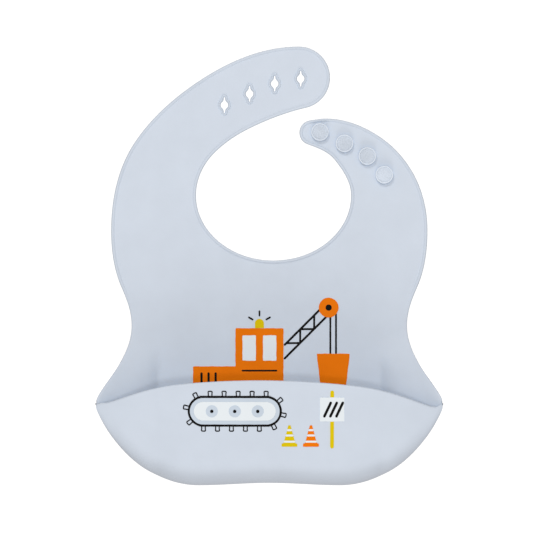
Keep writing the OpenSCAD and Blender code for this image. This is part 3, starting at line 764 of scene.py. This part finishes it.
def material(name, rgb, roughness, grain, mottle=0.03, sheen=0.0, shine=0.5,
             grain_scale=2600, grain_deep=0.00006):
    """Moulded silicone or silicone ink: a fine matte grain over faint clouding."""
    m = bpy.data.materials.new(name)
    m.use_nodes = True
    nodes, links = m.node_tree.nodes, m.node_tree.links
    shader = nodes["Principled BSDF"]
    coord = nodes.new("ShaderNodeTexCoord")
    cloud = noise(nodes, links, coord, 42, 3.0, 0.55)
    ramp = nodes.new("ShaderNodeValToRGB")
    base = linear(rgb) / STUDIO
    for element, k in zip(ramp.color_ramp.elements, (1 - mottle, 1 + mottle)):
        element.color = (*np.clip(base * k, 0, 1), 1.0)
    ramp.color_ramp.elements[0].position = 0.3
    ramp.color_ramp.elements[1].position = 0.7
    links.new(cloud.outputs["Fac"], ramp.inputs["Fac"])
    links.new(ramp.outputs["Color"], shader.inputs["Base Color"])
    fine = noise(nodes, links, coord, grain_scale, 2.0, 0.6)
    broad = noise(nodes, links, coord, 260, 3.0, 0.6)
    spread = nodes.new("ShaderNodeMapRange")
    spread.inputs["To Min"].default_value = roughness - 0.06
    spread.inputs["To Max"].default_value = roughness + 0.06
    links.new(broad.outputs["Fac"], spread.inputs["Value"])
    links.new(spread.outputs["Result"], shader.inputs["Roughness"])
    first = nodes.new("ShaderNodeBump")
    first.inputs["Strength"].default_value = grain
    first.inputs["Distance"].default_value = grain_deep
    links.new(fine.outputs["Fac"], first.inputs["Height"])
    second = nodes.new("ShaderNodeBump")
    second.inputs["Strength"].default_value = grain * 0.7
    second.inputs["Distance"].default_value = 0.00025
    links.new(broad.outputs["Fac"], second.inputs["Height"])
    links.new(first.outputs["Normal"], second.inputs["Normal"])
    links.new(second.outputs["Normal"], shader.inputs["Normal"])
    shader.inputs["IOR"].default_value = 1.41
    shader.inputs["Specular IOR Level"].default_value = shine
    shader.inputs["Sheen Weight"].default_value = sheen
    shader.inputs["Sheen Roughness"].default_value = 0.6
    return m


MATERIALS = {
    "silicone": material("silicone", (196, 204, 215), 0.6, 0.35, 0.02, 0.12),
    # A lighter copy of the silicone for the knobs: a painted highlight on their rims and sides.
    "silicone_trim": material("silicone_trim", (212, 219, 229), 0.55, 0.35, 0.02, 0.15),
    "ink_orange": material("ink_orange", (228, 113, 2), 0.6, 0.25, 0.03, shine=0.08),
    "ink_black": material("ink_black", (8, 8, 8), 0.6, 0.25, 0.05, shine=0.12),
    "ink_yellow": material("ink_yellow", (210, 184, 4), 0.6, 0.25, 0.03, shine=0.08),
    "ink_white": material("ink_white", (219, 224, 227), 0.6, 0.25, 0.01, shine=0.15),
    "ink_grey": material("ink_grey", (190, 200, 211), 0.6, 0.25, 0.02, shine=0.15)}


def finish(thing, slot):
    thing.data.materials.clear()
    thing.data.materials.append(MATERIALS[slot])
    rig.slot(thing, slot)
    return thing


# A near-white silicone for the faces along the free edges: painted light, standing in for light shining through the
# thin edge.
PAINTED_EDGE_LIGHT = material("silicone_edge", (246, 249, 252), 0.55, 0.3, 0.01, 0.2)
STIPPLE = material("silicone_stipple", (199, 207, 218), 0.62, 1.0, 0.08, 0.05,
                   grain_scale=900, grain_deep=0.0008)


# ---- hand-drawn shapes ---------------------------------------------------
def spline(points, closed=False, step=0.7):
    """A smooth line through points."""
    p = np.array(points, float)
    if closed:
        p = np.vstack([p[-1], p, p[:2]])
    else:
        p = np.vstack([2 * p[0] - p[1], p, 2 * p[-1] - p[-2]])
    out = []
    for a, b, c, d in zip(p, p[1:], p[2:], p[3:]):
        n = max(2, math.ceil(np.linalg.norm(c - b) / step))
        t = (np.arange(n) / n)[:, None]
        out.append(b + (c - a) * t / 2 + (2 * a - 5 * b + 4 * c - d) * t ** 2 / 2
                   + (3 * b - a - 3 * c + d) * t ** 3 / 2)
    return np.vstack(out if closed else out + [p[-2:-1]])


def shaken(ring, amount, seed):
    """A closed shape with the small unevenness of a hand-drawn edge."""
    rng = np.random.default_rng(seed)
    step = np.linalg.norm(np.roll(ring, -1, 0) - ring, axis=1)
    along = np.concatenate([[0], np.cumsum(step)])
    total = along[-1]
    wave = np.zeros(len(ring))
    for length, share in ((11.0, 0.5), (5.0, 0.3), (2.4, 0.2)):
        turns = max(1, round(total / length))
        wave += share * np.sin(2 * np.pi * (turns * along[:-1] / total + rng.random()))
    run = np.roll(ring, -1, 0) - np.roll(ring, 1, 0)
    side = np.stack([run[:, 1], -run[:, 0]], 1)
    side /= np.maximum(np.linalg.norm(side, axis=1), 1e-9)[:, None]
    return ring + amount * wave[:, None] * side


def drawn(points, seed, round_by=0.7, amount=0.14):
    """A closed shape with straight sides and softened corners."""
    p = np.array(points, float)
    out = []
    for a, b, c in zip(np.roll(p, 1, 0), p, np.roll(p, -1, 0)):
        start = b + (a - b) * min(0.4, round_by / np.linalg.norm(a - b))
        end = b + (c - b) * min(0.4, round_by / np.linalg.norm(c - b))
        t = np.linspace(0, 1, 5)[:, None]
        out.append((1 - t) ** 2 * start + 2 * t * (1 - t) * b + t * t * end)
        after = c + (b - c) * min(0.4, round_by / np.linalg.norm(b - c))
        n = math.ceil(np.linalg.norm(after - end) / 1.1)
        out.append(end + (after - end) * (np.arange(1, n) / n)[:, None])
    return shaken(np.vstack(out), amount, seed)


def brush(points, widths, seed, amount=0.07):
    """A brush stroke along points, as wide as widths say from end to end."""
    line = spline(points, False, 0.6)
    run = np.gradient(line, axis=0)
    run /= np.linalg.norm(run, axis=1)[:, None]
    side = np.stack([-run[:, 1], run[:, 0]], 1)
    t = np.linspace(0, 1, len(line))
    half = np.interp(t, np.linspace(0, 1, len(widths)), np.array(widths) / 2)[:, None]
    turn = np.radians(np.arange(30, 180, 30))[:, None]
    end = line[-1] + half[-1] * (np.cos(turn) * side[-1] + np.sin(turn) * run[-1])
    start = line[0] - half[0] * (np.cos(turn) * side[0] + np.sin(turn) * run[0])
    return shaken(np.vstack([line + half * side, end, (line - half * side)[::-1], start]),
                  amount, seed)


def blob(middle, radius, seed, amount=0.1):
    turn = np.radians(np.arange(0, 360, 360 / max(14, round(radius * 9))))
    ring = np.stack([np.cos(turn), np.sin(turn)], 1) * radius + np.array(middle)
    return shaken(ring, amount, seed)


# ---- ink -----------------------------------------------------------------
INK = 0.2  # how far a print stands up
LAYER = 0.14  # how much higher a print on top of another is
SUNK = 0.07  # how far a print reaches into the sheet


def on_panel(xz):
    flat_y = np.full(len(xz), -SHEET)
    toward = np.tile([0.0, -1.0, 0.0], (len(xz), 1))
    return np.stack([xz[:, 0], flat_y, xz[:, 1]], 1), toward


def on_pocket(xz):
    x, z = xz[:, 0], xz[:, 1]
    e = 0.1
    slope_x = (wall_depth(x + e, z) - wall_depth(x - e, z)) / (2 * e)
    slope_z = (wall_depth(x, z + e) - wall_depth(x, z - e)) / (2 * e)
    toward = -np.stack([slope_x, np.ones(len(x)), slope_z], 1)
    toward /= np.linalg.norm(toward, axis=1)[:, None]
    return np.stack([x, -wall_depth(x, z), z], 1), toward


def ink(name, surface, slot, rings, holes=(), layer=0):
    """A thin raised print of closed shapes on a surface."""
    draw = Drawing()
    for ring in [*rings, *holes]:
        draw.line(ring, True)
    every = np.vstack(rings)
    dots = grid_points(every.min(0) - 1, every.max(0) + 1, 2.3)

    def covered(p):
        there = np.zeros(len(p), bool)
        for ring in rings:
            there |= inside(p, ring)
        for hole in holes:
            there &= ~inside(p, hole)
        return there

    room = np.min([distance(dots, ring, True) for ring in [*rings, *holes]], axis=0)
    draw.dots(dots[covered(dots) & (room > 0.9)])
    verts, faces = draw.done(covered)
    base, toward = surface(verts)
    outer = base + toward * (INK + layer * LAYER)
    inner = base + toward * (layer * LAYER - SUNK)
    thing = solid(name + "_ink", outer, inner, faces, np.zeros(len(verts), bool),
                  toward, -toward)
    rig.replaces(thing, name)
    return finish(thing, slot)


# The digger: a plain chassis and cab, a straight lattice boom, a pulley and a bucket.
CAB = [(-57, -138), (-57, -121), (-27, -121), (-27, -94), (7, -94), (7, -138)]
WINDOWS = [[(x, -99), (x + 9.5, -99), (x + 9.5, -117), (x, -117)] for x in (-22, -7.5)]
BEACON, BEACON_R, BEACON_FOOT = (-10.0, -90.6), 3.2, 3.3
PULLEY, PULLEY_R, HUB_R = (39.0, -79.4), 7.0, 2.2
BUCKET = [(30.5, -112), (54, -112), (51, -137), (33.5, -137)]
CABLES = [[(x, -84), (x, -113)] for x in (40.2, 44.2)]
VENTS = [[(x, -126), (x, -132)] for x in (-51, -46, -41)]
HANDLE = [(-22, -124), (2, -124)]
RAYS = [[np.array(BEACON) + r * way(aim) for r in (5.6, 8.6)] for aim in (30, 90, 150)]
BOOM_AIM, BOOM_HALF = 45, 3.4  # its slope, and half its width
BOOM_BAY, BOOM_BAYS, BOOM_END = 7.0, 4, 39  # the zigzag, from its lower end


def boom_at(along, side):
    """A point of the boom: how far from the pulley, and on which side."""
    return (np.array(PULLEY) - along * way(BOOM_AIM)
            + side * BOOM_HALF * way(BOOM_AIM + 90))


def bays():
    """The boom's zigzag, one stroke to a bay."""
    for k in range(BOOM_BAYS):
        side, along = (1 if k % 2 == 0 else -1), BOOM_END - k * BOOM_BAY
        yield [boom_at(along, side), boom_at(along - BOOM_BAY, -side)]


STEADY = 0.04  # how far a straight stroke wavers
CHORDS = [[boom_at(40.5, 1), boom_at(6, 1)], [boom_at(47.4, -1), boom_at(6, -1)]]


def strokes(paths, width, seed):
    """Straight strokes of one even width."""
    return [brush(path, [width, width], seed + i, STEADY) for i, path in enumerate(paths)]


cab_windows = [drawn(w, 31 + i, 0.7) for i, w in enumerate(WINDOWS)]
beacon_foot = [(BEACON[0] + side * BEACON_R, BEACON[1] - BEACON_FOOT) for side in (-1, 1)]
beacon_dome = [BEACON + BEACON_R * way(turn) for turn in range(0, 181, 12)]
panel_ink = [
    ink("print_cab", on_panel, "ink_orange", [drawn(CAB[::-1], 1, 0.8)], cab_windows),
    ink("print_windows", on_panel, "ink_white",
        [w.mean(0) + 0.994 * (w - w.mean(0)) for w in cab_windows]),
    ink("print_beacon", on_panel, "ink_yellow",
        [np.array(beacon_foot + [tuple(p) for p in beacon_dome])[::-1]]),
    ink("print_boom", on_panel, "ink_black",
        strokes(CHORDS, 1.5, 40) + strokes(bays(), 1.4, 50)),
    ink("print_cables", on_panel, "ink_black", strokes(CABLES, 1.3, 60)),
    ink("print_bucket", on_panel, "ink_orange", [drawn(BUCKET, 11, 0.8)], layer=0.4)]
high_ink = [
    ink("print_marks", on_panel, "ink_black",
        strokes(RAYS, 1.2, 70) + strokes(VENTS, 1.6, 74) + strokes([HANDLE], 1.2, 78),
        layer=1),
    ink("print_pulley", on_panel, "ink_orange", [blob(PULLEY, PULLEY_R, 3, 0.08)],
        layer=0.5),
    ink("print_pulley_hub", on_panel, "ink_black", [blob(PULLEY, HUB_R, 4, 0.05)],
        layer=1.5)]

# The track, two cones and a signboard on the pocket.
TRACK, TRACK_HALF, TRACK_R = np.array((-27.1, -151.1)), 32.8, 10.8
TRACK_LINE, TRACK_BAND = 1.5, 4.2  # how far in the line and the band end
CLEATS = 16
CLEAT_HIGH, CLEAT_WIDE = 3.0, 1.25
HUBS = [TRACK + (x, 0) for x in (-16, 0, 16)]
DISC_R, DOT_R = 4.2, 1.2
YELLOW_CONE, ORANGE_CONE = (11, -176), (26, -176)
CONE_WIDE, CONE_HIGH = 11, 15
CONE_BANDS = [(0.16, 0.32), (0.46, 0.6), (0.72, 0.84)]  # shares of the cone's height
POST = [(40.7, -141.1), (40.7, -137.9)], [(40.7, -176), (40.7, -158.6)]
BOARD = [(32.2, -141.4), (49.2, -141.4), (49.2, -158.3), (32.2, -158.3)]
BOARD_BARS = [[(x, -154.6), (x + 4.4, -145.2)] for x in (35.3, 39.5, 43.7)]


def capsule(inward):
    """The track's edge, drawn in by a distance, clockwise from its top left."""
    r, run = TRACK_R - inward, TRACK_HALF - TRACK_R
    right = [TRACK + (run, 0) + r * way(90 - a) for a in range(0, 181, 6)]
    left = [TRACK - (run, 0) + r * way(270 - a) for a in range(0, 181, 6)]
    return spline(right + left, True, 0.9)


def around(t):
    """The middle of the foot of the cleat t round the track, and which way it stands."""
    run = 2 * (TRACK_HALF - TRACK_R)
    arc = np.pi * TRACK_R
    d = t * 2 * (run + arc)
    if d < run:
        return TRACK + (d - run / 2, TRACK_R), 90
    if d < run + arc:
        aim = 90 - np.degrees((d - run) / TRACK_R)
        return TRACK + (run / 2, 0) + TRACK_R * way(aim), aim
    if d < 2 * run + arc:
        return TRACK + (run / 2 - (d - run - arc), -TRACK_R), -90
    aim = 270 - np.degrees((d - 2 * run - arc) / TRACK_R)
    return TRACK - (run / 2, 0) + TRACK_R * way(aim), aim


def cleat(foot, aim, seed):
    """A small open square that stands on the track."""
    out, side = way(aim), way(aim - 90)
    path = [foot + w * CLEAT_WIDE * side + h * CLEAT_HIGH * out
            for w, h in ((-1, 0), (-1, 0.5), (-1, 1), (1, 1), (1, 0.5), (1, 0))]
    return brush(path, [0.8, 0.8], seed, 0.03)


def cone(foot):
    """A cone's outline, clockwise from the left end of its foot."""
    x, z = foot
    level = [(0, 0.5), (0.14, 0.5), (0.16, 0.37), (1, 0.07)]
    left = [(x - w * CONE_WIDE, z + t * CONE_HIGH) for t, w in level]
    return left + [(2 * x - px, pz) for px, pz in left[::-1]]


def stripes(foot, seed):
    """The level stripes of a cone."""
    x, z = foot
    for k, (low, high) in enumerate(CONE_BANDS):
        t = (low + high) / 2
        half = CONE_WIDE * (0.36 * (1 - t) + 0.07) - 0.5
        level = z + t * CONE_HIGH
        yield brush([(x - half, level), (x + half, level)], [1.4, 1.4], seed + k, STEADY)


track_out = shaken(capsule(0), 0.06, 5)
track_in = shaken(capsule(TRACK_LINE), 0.06, 6)
fill = shaken(capsule(TRACK_BAND), 0.06, 7)
pocket_ink = [
    ink("print_track", on_pocket, "ink_black",
        [track_out] + [cleat(*around((i + 0.5) / CLEATS), 80 + i) for i in range(CLEATS)],
        [track_in]),
    ink("print_track_band", on_pocket, "ink_grey", [moved_in(track_in, 0.05, True)], [fill]),
    ink("print_track_fill", on_pocket, "ink_white", [moved_in(fill, 0.04, True)]),
    ink("print_hubs", on_pocket, "ink_grey",
        [blob(p, DISC_R, 110 + i, 0.06) for i, p in enumerate(HUBS)], layer=1),
    ink("print_hub_dots", on_pocket, "ink_black",
        [blob(p, DOT_R, 130 + i, 0.04) for i, p in enumerate(HUBS)], layer=2),
    ink("print_yellow_cone", on_pocket, "ink_yellow", [drawn(cone(YELLOW_CONE), 8, 0.5, 0.06)]),
    ink("print_orange_cone", on_pocket, "ink_orange", [drawn(cone(ORANGE_CONE), 9, 0.5, 0.06)],
        layer=0.5),
    ink("print_cone_stripes", on_pocket, "ink_white",
        [*stripes(YELLOW_CONE, 140), *stripes(ORANGE_CONE, 144)], layer=1.5),
    ink("print_post", on_pocket, "ink_yellow", strokes(POST, 2.6, 150)),
    ink("print_board", on_pocket, "ink_white", [drawn(BOARD, 10, 0.5, 0.08)], layer=0.5),
    ink("print_board_marks", on_pocket, "ink_black", strokes(BOARD_BARS, 1.8, 160),
        layer=1.5)]


# ---- buttons -------------------------------------------------------------
def button(name, body):
    """A knob: a neck, and a wider flat head with a thin rim round its face."""
    low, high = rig.box(name)
    middle = (low + high) / 2 / MM
    r, top = (high.x - low.x) / 2 / MM, (high.y - low.y) / MM
    neck, under = 4.0, 1.4  # the neck's radius, and its length up to the head
    profile = [(neck + 0.45, -0.1), (neck + 0.2, 0.08), (neck + 0.04, 0.3), (neck, 0.6),
               (neck, under - 0.15), (neck + 0.15, under)]
    profile += [(r - 0.55, under + 0.02), (r - 0.25, under + 0.14), (r - 0.05, under + 0.4),
                (r, under + 0.7), (r, top - 0.6), (r - 0.06, top - 0.36),
                (r - 0.18, top - 0.14), (r - 0.36, top - 0.02), (r - 0.6, top),
                (r - 0.8, top - 0.04), (r - 0.9, top - 0.16), (r - 0.98, top - 0.42),
                (r - 1.1, top - 0.58), (r - 1.4, top - 0.63), (r * 0.5, top - 0.55),
                (r * 0.25, top - 0.5)]
    count = 72
    turn = np.linspace(0, 2 * np.pi, count, endpoint=False)
    points = [(middle.x + a * math.cos(t), high.y / MM - h, middle.z + a * math.sin(t))
              for a, h in profile for t in turn]
    faces = [(k * count + i, k * count + (i + 1) % count,
              (k + 1) * count + (i + 1) % count, (k + 1) * count + i)
             for k in range(len(profile) - 1) for i in range(count)]
    foot, tip = len(points), len(points) + 1
    points += [(middle.x, high.y / MM + 0.1, middle.z),
               (middle.x, high.y / MM - top + 0.48, middle.z)]
    last = (len(profile) - 1) * count
    faces += [(foot, (i + 1) % count, i) for i in range(count)]
    faces += [(tip, last + i, last + (i + 1) % count) for i in range(count)]
    mesh = bpy.data.meshes.new(name + "_knob")
    mesh.from_pydata((np.array(points) * MM).tolist(), [], faces)
    mesh.update()
    mesh.shade_smooth()
    knob = link(name + "_knob", mesh)
    # The knob takes the lighter silicone, a painted highlight on its rim and sides, and its recessed face takes the
    # stippled silicone.
    finish(knob, "silicone_trim")
    mesh.materials.append(STIPPLE)
    face_from = (len(profile) - 6) * count  # the last six rings are the recessed face
    for polygon in mesh.polygons:
        if min(polygon.vertices) >= face_from:
            polygon.material_index = 1
    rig.ride(knob, body)
    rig.replaces(knob, name)


# ---- skins on their bodies -----------------------------------------------
def across(a, half, sign):
    """Start and end, in metres, of a bend zone across a strap's bending line."""
    run = way(a + 90) * half * sign * MM
    return (-run[0], 0, -run[1]), (run[0], 0, run[1])


def level(z):
    return (0, 0, z * MM)


flat, cut_row = build_flat()
scoop = build_scoop(cut_row)
# Each skin's second material is the near-white edge silicone: painted light along the thin free edges.
for skin in [*flat.values(), *scoop.values()]:
    finish(skin, "silicone")
    skin.data.materials.append(PAINTED_EDGE_LIGHT)

WAIST_ZONE = (level(WAIST_Z + WAIST_HALF), level(WAIST_Z - WAIST_HALF))
POCKET_ZONE = ((0, -3 * MM, 0), (0, -24 * MM, 0))  # the floor bends between these depths
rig.ride(flat["chest_skin"], "chest")
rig.blend(flat["waist_skin"], "chest", "scoop", *WAIST_ZONE)
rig.blend(flat["slot_strap_root_skin"], "chest", "slot_strap_base",
         *across(SLOT_ROOT, ROOT_HALF, -1))
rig.blend(flat["slot_strap_skin"], "slot_strap_base", "slot_strap_end",
         *across(SLOT_MID, MID_HALF, -1))
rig.blend(flat["button_strap_root_skin"], "chest", "button_strap_base",
         *across(BUTTON_ROOT, ROOT_HALF, 1))
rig.blend(flat["button_strap_skin"], "button_strap_base", "button_strap_end",
         *across(BUTTON_MID, BUTTON_MID_HALF, 1))
for skin in scoop.values():
    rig.blend(skin, "scoop", "pocket", *POCKET_ZONE)
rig.replaces(flat["chest_skin"], "chest_panel")
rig.replaces(flat["slot_strap_root_skin"], "slot_strap_base")
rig.replaces(flat["slot_strap_skin"], "slot_strap_end", "slot_rims")
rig.replaces(flat["button_strap_root_skin"], "button_strap_base")
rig.replaces(flat["button_strap_skin"], "button_strap_end")
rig.replaces(scoop["lower_panel_skin"], "waist_panel")
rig.replaces(scoop["wing_left_skin"], "wing_left", "corner_left")
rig.replaces(scoop["wing_right_skin"], "wing_right", "corner_right")
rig.replaces(scoop["pocket_floor_skin"], "pocket_floor")
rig.replaces(scoop["pocket_front_skin"], "pocket_front")
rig.replaces(scoop["lip_bead_skin"], "lip_bead")

for thing in panel_ink:
    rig.ride(thing, "scoop")
for thing in high_ink:
    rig.blend(thing, "chest", "scoop", *WAIST_ZONE)
for thing in pocket_ink:
    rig.ride(thing, "pocket")
for body in ("button_strap_base", "button_strap_end"):
    for node in frame["record"]["behaviour"]["bodies"][body]:
        if node.startswith("button_") and node[-1].isdigit():
            button(node, body)

# ---- floor, light and camera ---------------------------------------------
FRAME_WIDTH = 0.3774  # metres across the picture, at the point aimed at
LENS, SENSOR = 220.0, 36.0
WORLD = 0.47  # strength of the even light from all sides
# Lights: where each stands, how wide it is in metres, and its power.
LIGHTS = {
    "key": ((-0.5, -2.0, 1.6), 0.5, 18.0),
    "front": ((0.1, -2.9, 0.7), 1.2, 19.0),
    "level": ((0.1, -2.9, -0.38), 0.3, 12.5),
    "low": ((0.0, -1.0, -2.1), 1.2, 15.0),
    "back": ((0.6, 2.6, 1.0), 2.2, 50.0)}
FLOOR_R_M, WALL_R_M, SIDES = 9.0, 9.5, 96
FLOOR_GAP = 0.003
WALL_FOOT, WALL_TOP = -3.0, 9.0


def make_camera():
    data = bpy.data.cameras.new("camera")
    data.lens, data.sensor_width = LENS, SENSOR
    data.clip_start, data.clip_end = 0.1, 40
    camera = link("camera", data)
    camera.location = Vector(AIM) * MM - Vector((0, FRAME_WIDTH * LENS / SENSOR, 0))
    camera.rotation_euler = (math.pi / 2, 0, 0)
    bpy.context.scene.camera = camera


def make_light(name, at, size, watts):
    data = bpy.data.lights.new(name, "AREA")
    data.shape, data.size, data.energy = "DISK", size, watts
    data.color = STUDIO
    light = link(name, data)
    light.location = at
    light.visible_camera = False
    light.rotation_mode = "QUATERNION"
    light.rotation_quaternion = (Vector(AIM) * MM - Vector(at)).to_track_quat("-Z", "Y")


def glowing(name, paint, glow):
    m = bpy.data.materials.new(name)
    m.use_nodes = True
    shader = m.node_tree.nodes["Principled BSDF"]
    shader.inputs["Base Color"].default_value = (paint, paint, paint, 1)
    shader.inputs["Roughness"].default_value = 1.0
    shader.inputs["Specular IOR Level"].default_value = 0.0
    shader.inputs["Emission Color"].default_value = (1, 1, 1, 1)
    shader.inputs["Emission Strength"].default_value = glow
    return m


def make_stage():
    """A white table and surround that only the camera sees; the lights do the rest."""
    turns = np.linspace(0, 2 * math.pi, SIDES, endpoint=False)
    mesh = bpy.data.meshes.new("floor")
    ring = [(FLOOR_R_M * math.cos(a), FLOOR_R_M * math.sin(a), cad_low[2] - FLOOR_GAP)
            for a in turns]
    mesh.from_pydata(ring, [], [tuple(range(SIDES))])
    floor = link("floor", mesh)
    mesh.materials.append(glowing("floor", 0.2, 0.97))
    bands = [(WALL_R_M * math.cos(a), WALL_R_M * math.sin(a), h)
             for h in (WALL_FOOT, WALL_TOP) for a in turns]
    walls = [(i, (i + 1) % SIDES, SIDES + (i + 1) % SIDES, SIDES + i) for i in range(SIDES)]
    mesh = bpy.data.meshes.new("surround")
    mesh.from_pydata(bands, [], walls + [tuple(range(SIDES, 2 * SIDES))])
    surround = link("surround", mesh)
    mesh.materials.append(glowing("surround", 0.0, 1.1))
    for thing in (floor, surround):
        for kind in ("diffuse", "glossy", "transmission", "volume_scatter", "shadow"):
            setattr(thing, "visible_" + kind, False)
    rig.stage(floor, surround)


def make_world():
    world = bpy.data.worlds.new("studio")
    world.use_nodes = True
    world.node_tree.nodes["Background"].inputs["Color"].default_value = (*STUDIO, 1)
    world.node_tree.nodes["Background"].inputs["Strength"].default_value = WORLD
    bpy.context.scene.world = world
    bpy.context.scene.view_settings.view_transform = "Standard"


make_camera()
for name, (at, size, watts) in LIGHTS.items():
    make_light(name, at, size, watts)
make_stage()
make_world()

visual_low, visual_high = (list(corner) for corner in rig.bounds())
with open("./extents.json", "w") as out:
    json.dump({"cad": [cad_low, cad_high], "visual": [visual_low, visual_high]}, out)
